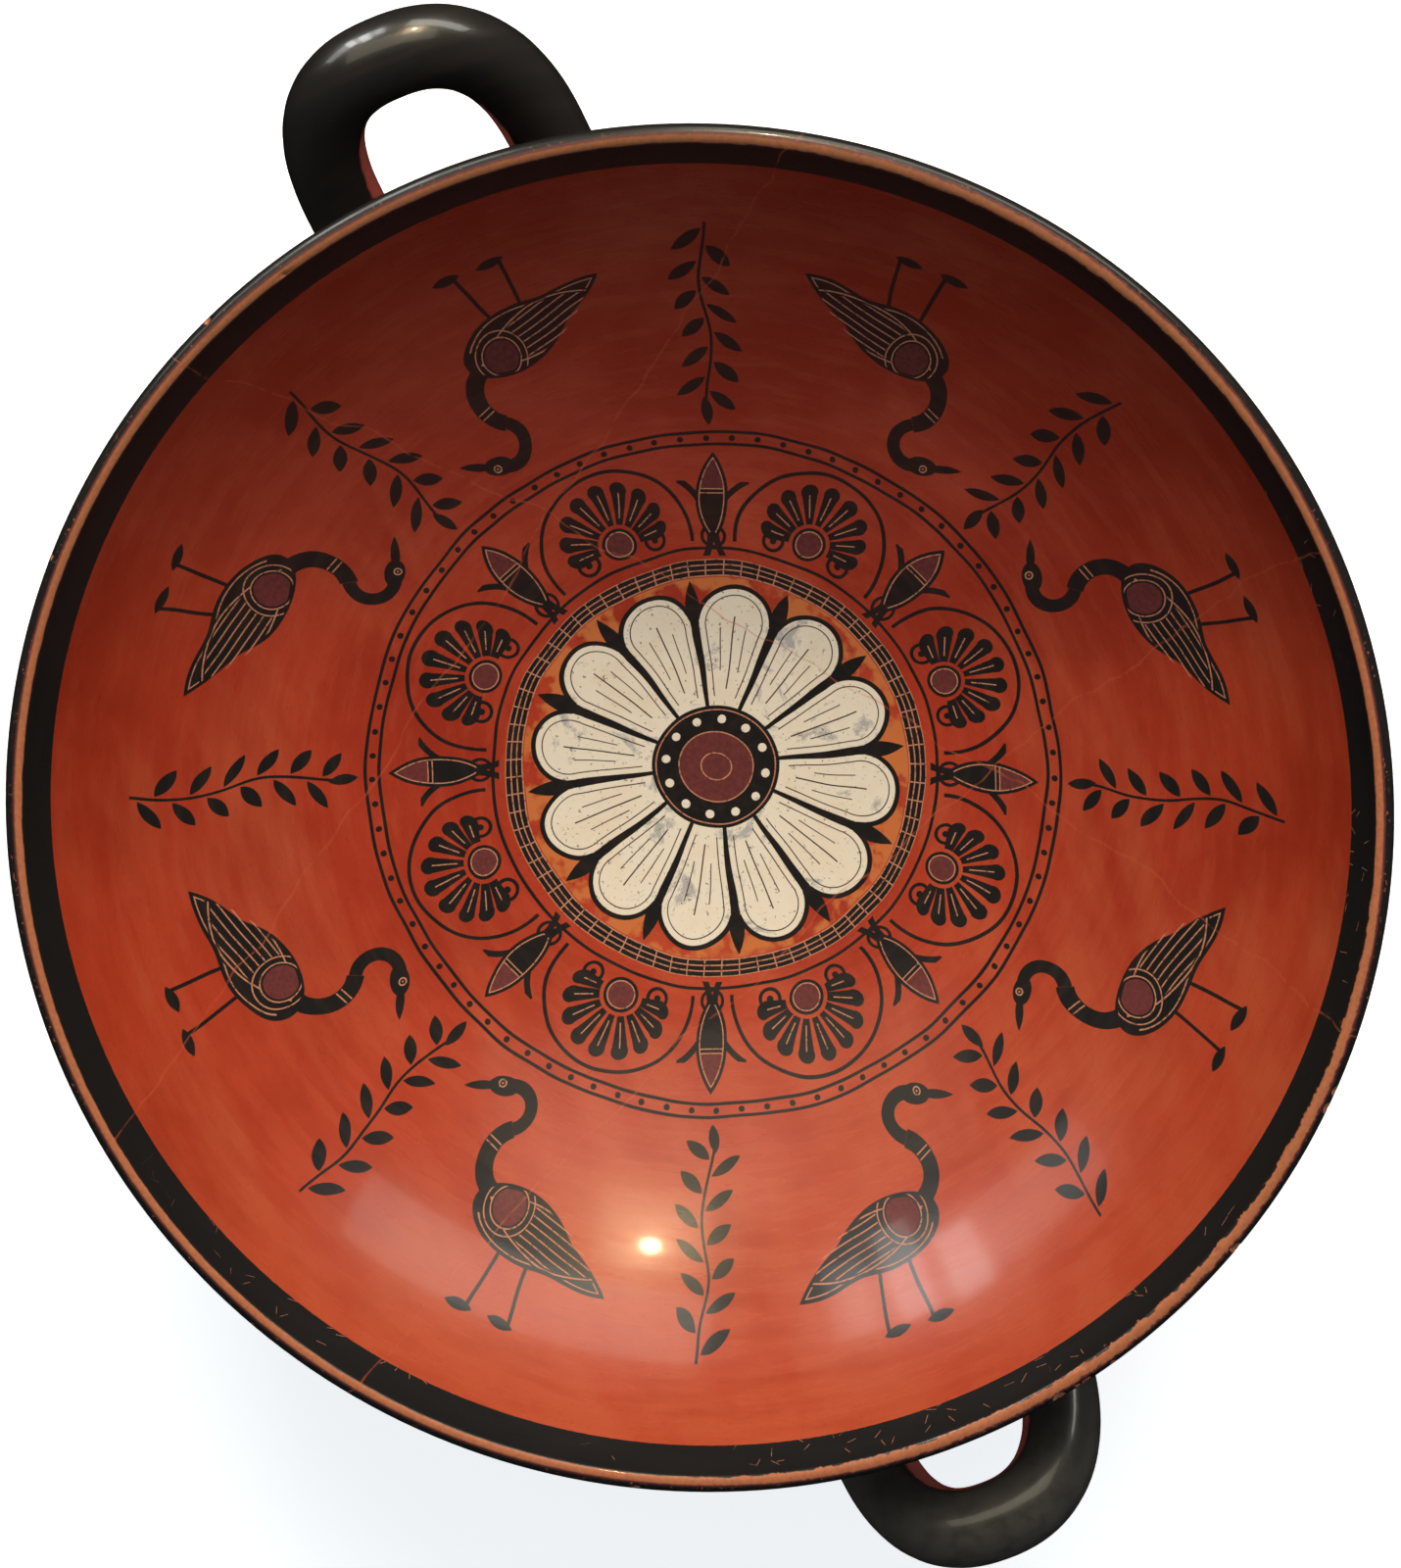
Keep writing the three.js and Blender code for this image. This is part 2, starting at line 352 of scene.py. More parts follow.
class HandlePath:
    """The rod's centre line: over one arm, round the loop and back along the other arm."""

    TIP_SLOPE = math.radians(56)
    LOOP_SIDE_RADIUS = 98 * MM
    ELBOW_SIDE_RADIUS = 60 * MM
    LOOP_POWER = 2.34
    ARM_LENGTH = 90 * MM
    ARM_SPLAY = 7 * MM

    def __init__(self, shape):
        self.shape = shape
        self.tip = (shape.tip_reach, shape.height - shape.tip_drop, self.TIP_SLOPE)
        self.loop_foot = self.along_arc(self.tip, self.LOOP_SIDE_RADIUS, shape.loop_length)
        self.elbow_length = self.ELBOW_SIDE_RADIUS * self.loop_foot[2]

    @staticmethod
    def along_arc(place, radius, run):
        reach, height, rise = place
        end = rise - run / radius
        return (
            reach - radius * (math.sin(rise) - math.sin(end)),
            height - radius * (math.cos(end) - math.cos(rise)),
            end,
        )

    def side_view(self, run):
        """Reach, height and rise at a distance from the tip along either arm."""
        if run < self.shape.loop_length:
            return self.along_arc(self.tip, self.LOOP_SIDE_RADIUS, run)
        elbow = min(run - self.shape.loop_length, self.elbow_length)
        reach, height, rise = self.along_arc(self.loop_foot, self.ELBOW_SIDE_RADIUS, elbow)
        return (reach - (run - self.shape.loop_length - elbow), height, rise)

    def arm_offset(self, run):
        share = (run - self.shape.loop_length) / self.ARM_LENGTH
        return self.shape.loop_half_width + self.ARM_SPLAY * share**2

    def stations(self):
        """A list of (run, sideways) pairs, from one arm's end to the other's."""
        arm_steps, loop_steps = 44, 56
        arm = []
        for i in range(arm_steps, 0, -1):
            run = self.shape.loop_length + self.ARM_LENGTH * i / arm_steps
            arm.append((run, self.arm_offset(run)))
        loop = []
        for i in range(loop_steps + 1):
            angle = math.pi * i / loop_steps
            across = math.copysign(abs(math.cos(angle)) ** (2 / self.LOOP_POWER), math.cos(angle))
            along = abs(math.sin(angle)) ** (2 / self.LOOP_POWER)
            loop.append((self.shape.loop_length * (1 - along), self.shape.loop_half_width * across))
        return [*arm, *loop, *[(run, -sideways) for run, sideways in reversed(arm)]]

    def frames(self):
        """For each point of the centre line: its place, and the directions sideways and up from the rod."""
        places, normals = [], []
        for run, sideways in self.stations():
            reach, height, rise = self.side_view(run)
            places.append(Vector((reach, sideways, height)))
            normals.append(Vector((-math.sin(rise), 0, math.cos(rise))))
        last = len(places) - 1
        frames = []
        for i, normal in enumerate(normals):
            along = (places[min(i + 1, last)] - places[max(i - 1, 0)]).normalized()
            side = along.cross(normal).normalized()
            frames.append((places[i], side, side.cross(along)))
        return frames


HANDLE_SIDES = 32


def roll_handle(shape, bowl):
    """Extrudes the rod ring by ring along its path, and swells it where it is pressed on to the wall."""
    bm = bmesh.new()
    circle = bmesh.ops.create_circle(bm, cap_ends=True, segments=HANDLE_SIDES, radius=shape.handle_radius)
    ring = circle["verts"]
    angles = [math.atan2(v.co.y, v.co.x) for v in ring]
    for i, (place, side, up) in enumerate(HandlePath(shape).frames()):
        if i > 0:
            edges = dict.fromkeys(e for v in ring for e in v.link_edges if all(o in ring for o in e.verts))
            grown = bmesh.ops.extrude_edge_only(bm, edges=list(edges))["geom"]
            new_ring = [None] * len(ring)
            for vert in (g for g in grown if isinstance(g, bmesh.types.BMVert)):
                old = next(e.other_vert(vert) for e in vert.link_edges if e.other_vert(vert) in ring)
                new_ring[ring.index(old)] = vert
            ring = new_ring
        for vert, angle in zip(ring, angles):
            outwards = side * math.cos(angle) + up * math.sin(angle)
            surface = place + outwards * shape.handle_radius
            vert.co = surface + outwards * root_swell(bowl.depth_into_wall(surface))
    bmesh.ops.contextual_create(bm, geom=ring)
    bmesh.ops.recalc_face_normals(bm, faces=bm.faces)
    return all_of_surface(bm, "handles")


def root_swell(depth):
    """Extra thickness of the rod at a depth below the wall's surface: clay smeared up it in a soft curve."""
    reach, most = 17 * MM, 6.5 * MM
    share = min(max(1 + depth / reach, 0), 1)
    return most * share**2.6


def mesh_object(name, bm, materials=()):
    mesh = bpy.data.meshes.new(name)
    bm.to_mesh(mesh)
    bm.free()
    piece = bpy.data.objects.new(name, mesh)
    bpy.context.scene.collection.objects.link(piece)
    for material in materials:
        mesh.materials.append(material)
    return piece


def carve(target, tool, operation, crossing=False):
    """Joins or cuts the tool into the target, and removes the tool. The tool may cross itself if said so."""
    modifier = target.modifiers.new(operation, "BOOLEAN")
    modifier.operation = operation
    modifier.solver = "EXACT"
    modifier.use_self = crossing
    modifier.object = tool
    bpy.context.view_layer.update()
    evaluated = target.evaluated_get(bpy.context.evaluated_depsgraph_get())
    mesh = bpy.data.meshes.new_from_object(evaluated)
    target.modifiers.clear()
    old = target.data
    target.data = mesh
    bpy.data.meshes.remove(old)
    bpy.data.meshes.remove(tool.data)


def wall_filler(shape, bowl):
    """A solid that fills the bowl out to the middle of its wall. It trims the handles."""
    half_width = (bowl.inner_width + bowl.outer_width) / 2
    half_depth = (bowl.inner_depth + bowl.outer_depth) / 2
    outline = arc_points((0, bowl.centre), half_width, half_depth, 0, bowl.mouth_angle, 40)
    return turn_outline([*outline, (0, shape.height + 1 * MM)], TURN_STEPS // 2)


def search_tree(places):
    tree = kdtree.KDTree(len(places))
    for i, place in enumerate(places):
        tree.insert(place, i)
    tree.balance()
    return tree


def put_in_order(elements, key):
    for rank, element in enumerate(sorted(elements, key=key)):
        element.index = rank
    elements.sort()


def smear_roots(mesh, bowl):
    """Softens the seam where the handles meet the wall, and leaves the wall's inner face alone."""
    bm = bmesh.new()
    bm.from_mesh(mesh)
    handles = SURFACES.index("handles")
    # A Boolean gives its points in any order, and merging depends on it, so they are put in order of place.
    put_in_order(bm.verts, lambda vert: tuple(vert.co))
    put_in_order(bm.edges, lambda edge: sorted(vert.index for vert in edge.verts))
    put_in_order(bm.faces, lambda face: sorted(vert.index for vert in face.verts))
    borders = [e for e in bm.edges if len({f.material_index == handles for f in e.link_faces}) == 2]
    seam = sorted({vert for edge in borders for vert in edge.verts}, key=lambda vert: vert.index)
    tree = search_tree([vert.co for vert in seam])
    bmesh.ops.remove_doubles(bm, verts=seam, dist=0.25 * MM)
    outermost, innermost, reach, rounds = -12 * MM, 2.5 * MM, 4 * MM, 6
    soft = [
        vert for vert in bm.verts
        if outermost < bowl.depth_into_wall(vert.co) < innermost and tree.find(vert.co)[2] < reach
    ]
    for _ in range(rounds):
        bmesh.ops.smooth_vert(bm, verts=soft, factor=0.5, use_axis_x=True, use_axis_y=True, use_axis_z=True)
    bm.to_mesh(mesh)
    bm.free()


def note(mesh, name, values):
    """Keeps a number for each vertex, for the materials to read."""
    mesh.attributes.new(name, "FLOAT", "POINT").data.foreach_set("value", values)


def mark_loop_side(mesh, shape):
    """Notes for each handle vertex how far it faces into the loop: 1 full on, -1 full away."""
    places, inwards, _ = zip(*HandlePath(shape).frames())
    tree = search_tree(places)
    middle = len(places) // 2
    sign = 1 if inwards[middle].x < 0 else -1
    values = []
    for vert in mesh.vertices:
        place = Vector((abs(vert.co.x), vert.co.y * math.copysign(1, vert.co.x), vert.co.z))
        centre, index, distance = tree.find(place)
        if distance > 2.5 * shape.handle_radius:
            values.append(0.0)
            continue
        values.append(sign * (place - centre).dot(inwards[index]) / max(distance, TINY))
    note(mesh, "loop_side", values)


# ---------------------------------------------------------------- texture layout

class Patch:
    """A place on the texture sheet for one part of the surface: its middle, and sheet widths in a metre."""

    def __init__(self, centre, scale):
        self.centre = centre
        self.scale = scale

    def at(self, across, up):
        return (self.centre[0] + across * self.scale, self.centre[1] + up * self.scale)


INSIDE_PATCH = Patch((0.352, 0.648), 2.26)
OUTSIDE_PATCH = Patch((0.795, 0.205), 1.15)
FOOT_PATCH = Patch((0.12, 0.12), 0.92)
UNDERSIDE_PATCH = Patch((0.36, 0.1), 1.15)
HANDLE_PATCHES = {
    (1, 1): Patch((0.755, 0.93), 1.1), (1, -1): Patch((0.87, 0.93), 1.1),
    (-1, 1): Patch((0.80, 0.50), 1.1), (-1, -1): Patch((0.92, 0.50), 1.1),
}
HANDLE_MIDDLE = 135 * MM  # distance of the handle patches' middle from the cup's axis


def patch_of(polygon, shape):
    """The patch that a face of the turned cup goes to."""
    name = SURFACES[polygon.material_index]
    radius, height = polygon.center.xy.length, polygon.center.z
    on_lip = name in ("mouth", "breaks")
    if name in ZONE_RADII or (on_lip and (radius < shape.crest_radius or polygon.normal.z > 0.5)):
        return INSIDE_PATCH
    if on_lip or name == "outside":
        return OUTSIDE_PATCH
    if radius > 20 * MM and (polygon.normal.z > -0.35 or height > 35 * MM):
        return FOOT_PATCH
    return UNDERSIDE_PATCH


def lay_out_texture(mesh, shape):
    """Gives the inside of the bowl most of the sheet, because the picture is there."""
    layer = mesh.uv_layers.new(name="OFBake", do_init=False)
    handles = SURFACES.index("handles")
    for polygon in mesh.polygons:
        on_handle = polygon.material_index == handles
        if on_handle:
            side = 1 if polygon.center.x > 0 else -1
            patch = HANDLE_PATCHES[(side, 1 if polygon.normal.z > 0 else -1)]
        else:
            patch = patch_of(polygon, shape)
        for loop in polygon.loop_indices:
            place = mesh.vertices[mesh.loops[loop].vertex_index].co
            if on_handle:
                layer.uv[loop].vector = patch.at(place.y, abs(place.x) - HANDLE_MIDDLE)
                continue
            spread = 1.0
            if patch is OUTSIDE_PATCH:
                spread = 1 + max(0, place.z - 50 * MM) * 2
            elif patch is FOOT_PATCH:
                reach = place.xy.length
                held = reach if place.z < STEM_FOOT else shape.stem_radius + (reach - shape.stem_radius) / 4
                spread = (shape.stem_top + 20 * MM + held - place.z) / max(reach, TINY)
            layer.uv[loop].vector = patch.at(place.x * spread, place.y * spread)


# ---------------------------------------------------------------- shader arithmetic

class Wire:
    """A value in a material that Python's arithmetic works on."""

    def __init__(self, paint, socket):
        self.paint = paint
        self.socket = socket

    def all_outputs(self):
        """A wire for each output of this wire's node."""
        return [Wire(self.paint, socket) for socket in self.socket.node.outputs]

    def __add__(self, other):
        return self.paint.math("ADD", self, other)

    def __sub__(self, other):
        return self.paint.math("SUBTRACT", self, other)

    def __rsub__(self, other):
        return self.paint.math("SUBTRACT", other, self)

    def __mul__(self, other):
        return self.paint.math("MULTIPLY", self, other)

    def __truediv__(self, other):
        return self.paint.math("DIVIDE", self, other)

    def __neg__(self):
        return self.paint.math("MULTIPLY", self, -1)

    def __abs__(self):
        return self.paint.math("ABSOLUTE", self)

    __radd__ = __add__
    __rmul__ = __mul__


class Paint:
    """The nodes of one material. Distances on the clay are in millimetres."""

    def __init__(self, name):
        self.material = bpy.data.materials.new(name)
        self.material.use_nodes = True
        self.nodes = self.material.node_tree.nodes
        self.links = self.material.node_tree.links
        self.nodes.clear()

    def node(self, kind, settings, sockets, output=0):
        """Adds a node: its settings first, then the values or wires of its sockets."""
        node = self.nodes.new(kind)
        for name, value in settings.items():
            setattr(node, name, value)
        for key, value in sockets.items():
            socket = node.inputs[key]
            if isinstance(value, Wire):
                self.links.new(value.socket, socket)
            else:
                socket.default_value = value
        return Wire(self, node.outputs[output]) if node.outputs else None

    def math(self, operation, *values, clamp=False):
        settings = {"operation": operation, "use_clamp": clamp}
        return self.node("ShaderNodeMath", settings, dict(enumerate(values)))

    def vector(self, operation, *values):
        """A vector from vectors. Lengths, distances and dot products come out as numbers."""
        output = 1 if operation in ("LENGTH", "DISTANCE", "DOT_PRODUCT") else 0
        return self.node("ShaderNodeVectorMath", {"operation": operation}, dict(enumerate(values)), output)

    def least(self, *values):
        return self.chain("MINIMUM", values)

    def most(self, *values):
        return self.chain("MAXIMUM", values)

    def chain(self, operation, values):
        result = values[0]
        for value in values[1:]:
            result = self.math(operation, result, value)
        return result

    def zigzag(self, value, half_period):
        """Folds a value back and forth between 0 and half a period."""
        return self.math("PINGPONG", value, half_period)

    def under(self, value, edge=0.0, blur=0.12):
        """1 where a value is below an edge and 0 above it, with a soft step between."""
        return self.math("MULTIPLY_ADD", value, -1 / blur, edge / blur + 0.5, clamp=True)

    def over(self, value, edge=0.0, blur=0.12):
        """1 where a value is above an edge."""
        return self.math("MULTIPLY_ADD", value, 1 / blur, 0.5 - edge / blur, clamp=True)

    def join(self, u, v, w=0.0):
        return self.node("ShaderNodeCombineXYZ", {}, {0: u, 1: v, 2: w})

    def parts(self, vector):
        """The three numbers of a vector or colour."""
        return self.node("ShaderNodeSeparateXYZ", {}, {0: vector}).all_outputs()

    def noise(self, place, scale, detail=2.0, roughness=0.5, distortion=0.0, output=0):
        return self.node("ShaderNodeTexNoise", {"noise_dimensions": "3D"}, {
            "Vector": place, "Scale": scale, "Detail": detail, "Roughness": roughness,
            "Distortion": distortion,
        }, output)

    def blend(self, share, first, second):
        """Mixes two colours."""
        settings = {"data_type": "RGBA", "blend_type": "MIX"}
        return self.node("ShaderNodeMix", settings, {0: share, 6: rgba(first), 7: rgba(second)}, 2)

    def tint(self, share, colour_in, factor):
        """Multiplies a colour by another, as far as the share says."""
        settings = {"data_type": "RGBA", "blend_type": "MULTIPLY"}
        return self.node("ShaderNodeMix", settings, {0: share, 6: rgba(colour_in), 7: rgba(factor)}, 2)

    def shift(self, share, first, second):
        """Mixes two numbers."""
        return self.node("ShaderNodeMix", {"data_type": "FLOAT"}, {0: share, 2: first, 3: second})

    def attribute(self, name):
        return self.node("ShaderNodeAttribute", {"attribute_name": name}, {}, 2)

    def finish(self, **sockets):
        shader = self.node("ShaderNodeBsdfPrincipled", {}, {
            key.replace("_", " "): value for key, value in sockets.items()
        })
        self.node("ShaderNodeOutputMaterial", {}, {"Surface": shader})
        return self.material


def rgba(value):
    if isinstance(value, Wire):
        return value
    return (*value, 1.0)


class Drawing:
    """A flat place to draw on, with u across and v up, in millimetres. Shapes are distances outside them."""

    def __init__(self, paint, u, v):
        self.paint = paint
        self.u = u
        self.v = v
        self.point = paint.join(u, v)

    def circle(self, u, v, radius):
        return self.paint.vector("DISTANCE", self.point, (u, v, 0)) - radius

    def turned(self, u, v, turn, scale=(1, 1, 1)):
        """The point as seen from a place, turned by degrees and in units of a scale."""
        return self.paint.node("ShaderNodeMapping", {"vector_type": "TEXTURE"}, {
            "Vector": self.point, "Location": (u, v, 0), "Rotation": (0, 0, math.radians(turn)),
            "Scale": scale,
        })

    def oval(self, u, v, half_length, half_width, turn=0.0):
        size = self.paint.vector("LENGTH", self.turned(u, v, turn, (half_length, half_width, 1)))
        return self.paint.math("MULTIPLY_ADD", size, half_width, -half_width)

    def leaf(self, u, v, half_length, half_width, turn=0.0):
        """A blade with two pointed ends: where two equal circles overlap."""
        radius = (half_length**2 + half_width**2) / (2 * half_width)
        folded = self.paint.vector("ABSOLUTE", self.turned(u, v, turn))
        return self.paint.vector("DISTANCE", folded, (0, half_width - radius, 0)) - radius

    def beyond(self, turn, offset):
        """Distance past a straight line that lies across a direction, in degrees."""
        return self.paint.vector("DOT_PRODUCT", self.point, tuple(direction(turn, 0))) - offset


# Sides of the cup, in degrees from +X: where painted shade falls, where the slip is thin and painted
# lighter, and where the cup is held in use.
SHADED_AZIMUTH = -22  # the side away from the key light, painted browner as its shade
THIN_AND_LIT_AZIMUTH = 165  # the slip lies thin, and the coral is painted lighter there as the lit side
RUBBED_AZIMUTH = 200  # the lip is worn most
CHIPPED_AZIMUTH = -48  # the lip is worn next


class Clay:
    """A painted surface: its place, its hand-drawn wobble, and the slips laid on it one after another."""

    WOBBLE = 4.4  # how far a line drawn by hand strays, in millimetres
    BRUSH_TURNS, BRUSH_WIDTHS = 5, 0.36  # how long and how close the marks of the brush are
    COAT_ROUGHNESS = 0.08
    WORN_TINT = (0.66, 0.56, 0.50)

    def __init__(self, name, colours, wobble=0.5, slip="coral"):
        self.paint = paint = Paint(name)
        self.colours = colours
        inside = paint.node("ShaderNodeTexCoord", {}, {}, 3)
        self.place = paint.vector("MULTIPLY", inside, (1 / MM, 1 / MM, 1 / MM))
        drift = paint.noise(self.place, 0.045, detail=1, output=1)
        drift = paint.vector("SUBTRACT", drift, (0.5, 0.5, 0.5))
        stray = self.WOBBLE * wobble
        drawn = paint.vector("MULTIPLY_ADD", drift, (stray, stray, 0), self.place)
        flat = paint.vector("MULTIPLY", drawn, (1, 1, 0))
        x, y, _ = paint.parts(flat)
        self.radius = paint.vector("LENGTH", flat)
        self.angle = paint.math("ARCTAN2", y, x)
        self.height = paint.parts(self.place)[2]
        self.grain = paint.noise(self.place, 0.95, detail=2, roughness=0.7)
        outwards = paint.vector("MULTIPLY", self.place, (1, 1, 0))
        out = paint.join(0, 0, paint.vector("LENGTH", outwards) * self.BRUSH_WIDTHS)
        turns = (self.BRUSH_TURNS, self.BRUSH_TURNS, 0)
        around = paint.vector("MULTIPLY_ADD", paint.vector("NORMALIZE", outwards), turns, out)
        self.brushed = paint.noise(around, 1.0, detail=3, roughness=0.62)
        if slip == "coral":
            self.start_coral()
        else:
            self.start_bare()

    def towards(self, azimuth):
        """Millimetres from the cup's axis in a direction."""
        return self.paint.vector("DOT_PRODUCT", self.place, tuple(direction(azimuth, 0)))

    def start_coral(self):
        """The brushed red slip: deep where it pooled, lighter where the brush dragged it thin, painted
        lighter still on the lit side and browner as shade on the side away from the key light.
        """
        paint, c = self.paint, self.colours
        cloud = paint.noise(self.place, 0.021, detail=4, roughness=0.62)
        swept_place = paint.node("ShaderNodeMapping", {"vector_type": "POINT"}, {
            "Vector": self.place, "Rotation": (0, 0, math.radians(52)), "Scale": (0.011, 0.055, 0.03),
        })
        swept = paint.noise(swept_place, 1.0, detail=3, roughness=0.6)
        # Painted light: the coral gets lighter towards the lit side, where the slip also lies thin.
        thin_and_lit_side = self.towards(THIN_AND_LIT_AZIMUTH) * 0.0011
        # Painted shade: the coral and the black turn browner towards the side away from the key light.
        shaded_side = paint.over(self.towards(SHADED_AZIMUTH), 80, 110)
        self.shade_browning = shaded_side * 0.13
        coral = paint.blend(shaded_side * 0.6, c.coral, c.coral_shaded)
        base = paint.blend(paint.over(cloud - thin_and_lit_side, 0.52, 0.30) * 0.72, coral, c.coral_dark)
        base = paint.blend(paint.over(swept + thin_and_lit_side, 0.60, 0.20) * 0.45, base, c.coral_light)
        # More painted light on the lit side.
        base = paint.blend(paint.over(self.towards(THIN_AND_LIT_AZIMUTH), 60, 80) * 0.3, base, c.coral_light)
        base = paint.blend(paint.under(self.brushed, 0.42, 0.16) * 0.20, base, c.coral_dark)
        base = paint.blend(paint.over(self.brushed, 0.60, 0.14) * 0.15, base, c.coral_light)
        self.base = paint.tint(paint.over(self.grain, 0.64, 0.10) * 0.30, base, (0.66, 0.55, 0.50))
        self.rough = paint.math("MULTIPLY_ADD", self.brushed, 0.16, 0.19)
        swell = paint.noise(self.place, 0.030, detail=0)
        self.relief = swell * 0.30 + self.brushed * 0.035 + self.grain * 0.010

    def start_bare(self):
        """Fired clay without a slip."""
        paint = self.paint
        self.shade_browning = 0.0
        self.base = self.worn_clay()
        self.rough = paint.math("MULTIPLY_ADD", self.grain, 0.2, 0.42)
        self.relief = self.grain * 0.03 + self.brushed * 0.02

    def worn_clay(self):
        """Bare clay, darker where its grain holds dirt."""
        paint = self.paint
        return paint.tint(paint.over(self.grain, 0.5, 0.3) * 0.5, self.colours.clay, self.WORN_TINT)

    def sector(self, repeats, shift=0):
        """A drawing that repeats round the cup, mirrored in each sector: u outwards, v from its middle."""
        paint = self.paint
        half = math.pi / repeats
        fold = paint.zigzag(self.angle + (FULL_TURN + shift * half), half)
        u = self.radius * paint.math("COSINE", fold)
        return Drawing(paint, u, self.radius * paint.math("SINE", fold))

    def cell(self, repeats, middle_radius, shift=0.0, mirrored=False):
        """A drawing for each sector: u round the cup and v towards the axis. Every other may be mirrored."""
        paint = self.paint
        step = FULL_TURN / repeats
        turned = self.angle + shift
        index = paint.math("ROUND", turned / step)
        local = turned - index * step
        u = self.radius * paint.math("SINE", local)
        if mirrored:
            u = u * paint.math("MULTIPLY_ADD", paint.math("FLOORED_MODULO", index, 2), -2, 1)
        return Drawing(paint, u, middle_radius - self.radius * paint.math("COSINE", local))

    def lay(self, mask, tone, rough, relief=0.0):
        paint = self.paint
        self.base = paint.blend(mask, self.base, tone)
        self.rough = paint.shift(mask, self.rough, rough)
        if relief:
            self.relief = paint.math("MULTIPLY_ADD", mask, relief, self.relief)

    def bare(self, mask):
        self.lay(mask, self.worn_clay(), 0.5)

    def orange(self, mask):
        """A thin wash with red blotches showing through."""
        blotch = self.paint.noise(self.place, 0.13, detail=3, roughness=0.6)
        self.lay(mask * self.paint.under(blotch, 0.52, 0.10) * 0.85, self.colours.orange, 0.3)

    def black(self, mask, thin=0.4, rough=0.22):
        paint, c = self.paint, self.colours
        tone = paint.blend(paint.over(self.brushed, 0.55, 0.2) * thin, c.black, c.black_thin)
        # Painted shade: the black browned on the side away from the key light.
        tone = paint.blend(self.shade_browning, tone, c.coral_shaded)
        self.lay(mask, tone, paint.math("MULTIPLY_ADD", self.brushed, 0.14, rough))

    def purple(self, mask):
        paint = self.paint
        tone = paint.tint(paint.over(self.grain, 0.5, 0.2) * 0.5, self.colours.purple, (0.5, 0.55, 0.6))
        self.lay(mask, tone, 0.5)

    def white(self, mask):
        """Matt cream slip with grey smudges and dark pits."""
        paint, c = self.paint, self.colours
        stain = paint.noise(self.place, 0.085, detail=5, roughness=0.72, distortion=0.6)
        tone = paint.blend(paint.over(stain, 0.60, 0.07) * 0.75, c.white, c.smudge)
        tone = paint.tint(paint.under(stain, 0.42, 0.2) * 0.5, tone, (0.94, 0.86, 0.74))
        tone = paint.tint(paint.over(self.grain, 0.665, 0.04) * 0.8, tone, (0.22, 0.19, 0.16))
        self.lay(mask, tone, 0.5, 0.07)

    def ink(self, mask):
        """Thin dark brown lines over the white."""
        self.lay(mask, (0.045, 0.022, 0.014), 0.4)

    def incise(self, mask):
        """Lines scratched through the slip. They break off where the tool skipped."""
        skipped = self.paint.over(self.grain, 0.60, 0.1) * 0.7
        self.lay(mask * (1 - skipped), self.colours.incised, 0.6)

    def mended_breaks(self):
        """Long mended breaks that run straight across the bowl, closed with a paler fill."""
        paint = self.paint
        wander = paint.noise(self.place, 0.05, detail=2) * 8
        breaks = []
        for azimuth, offset in ((20, -48), (33, 62), (-52, 30)):
            breaks.append(abs(self.towards(azimuth) - offset - wander))
        line = paint.under(paint.least(*breaks), 0.18, 0.3)
        self.lay(line * paint.over(self.brushed, 0.44, 0.2) * 0.45, self.colours.coral_light, 0.4)

    def finish(self, gloss=0.35, shine=0.5):
        bump = self.paint.node("ShaderNodeBump", {}, {"Distance": MM, "Height": self.relief})
        return self.paint.finish(
            Base_Color=self.base, Roughness=self.rough, Specular_IOR_Level=shine, Normal=bump,
            Coat_Weight=gloss, Coat_Roughness=self.COAT_ROUGHNESS,
        )


# ---------------------------------------------------------------- painted zones

def rosette_material(colours):
    """White petals round a purple-red heart, on black, with an orange wash and a scratched lattice ring."""
    clay = Clay("rosette", colours)
    paint = clay.paint
    petals_count = 12
    petal = clay.sector(petals_count)
    sides = paint.most(petal.beyond(90 + 13.2, 0), petal.beyond(0, 35.6))
    petals = paint.least(petal.circle(35.6, 0, 8.2), sides)
    petals = paint.most(petals, 15.2 - clay.radius)
    tongue = clay.sector(petals_count, shift=1).leaf(38.6, 0, 7.4, 1.9)
    clay.orange(paint.under(clay.radius, 46.5))
    ring = abs(clay.radius - 48.8) - 1.95
    clay.black(paint.under(paint.least(petals - 1.15, clay.radius - 15.0, tongue, ring)))
    clay.purple(paint.under(clay.radius, 8.6))
    clay.white(paint.under(paint.least(petals, petal.circle(11.9, 0, 1.05))))
    rib = paint.most(abs(petal.v) - 0.17, petal.beyond(0, 37), 19.5 - clay.radius)
    side_rib = paint.most(abs(petal.v - petal.u * 0.088) - 0.13, petal.beyond(0, 34), 24 - clay.radius)
    contour = paint.most(abs(petals + 1.5) - 0.14, 17.5 - clay.radius)
    clay.ink(paint.under(paint.least(rib, side_rib, contour)))
    rings = paint.least(abs(clay.radius - 8.7), abs(clay.radius - 14.2), abs(clay.radius - 3.4)) - 0.15
    spokes = clay.sector(72).v
    hoops = paint.zigzag(clay.radius - 46.9, 0.65)
    lattice = paint.most(paint.least(spokes, hoops) - 0.15, ring - 0.1)
    clay.incise(paint.under(paint.least(rings, lattice)))
    clay.mended_breaks()
    return clay.finish()


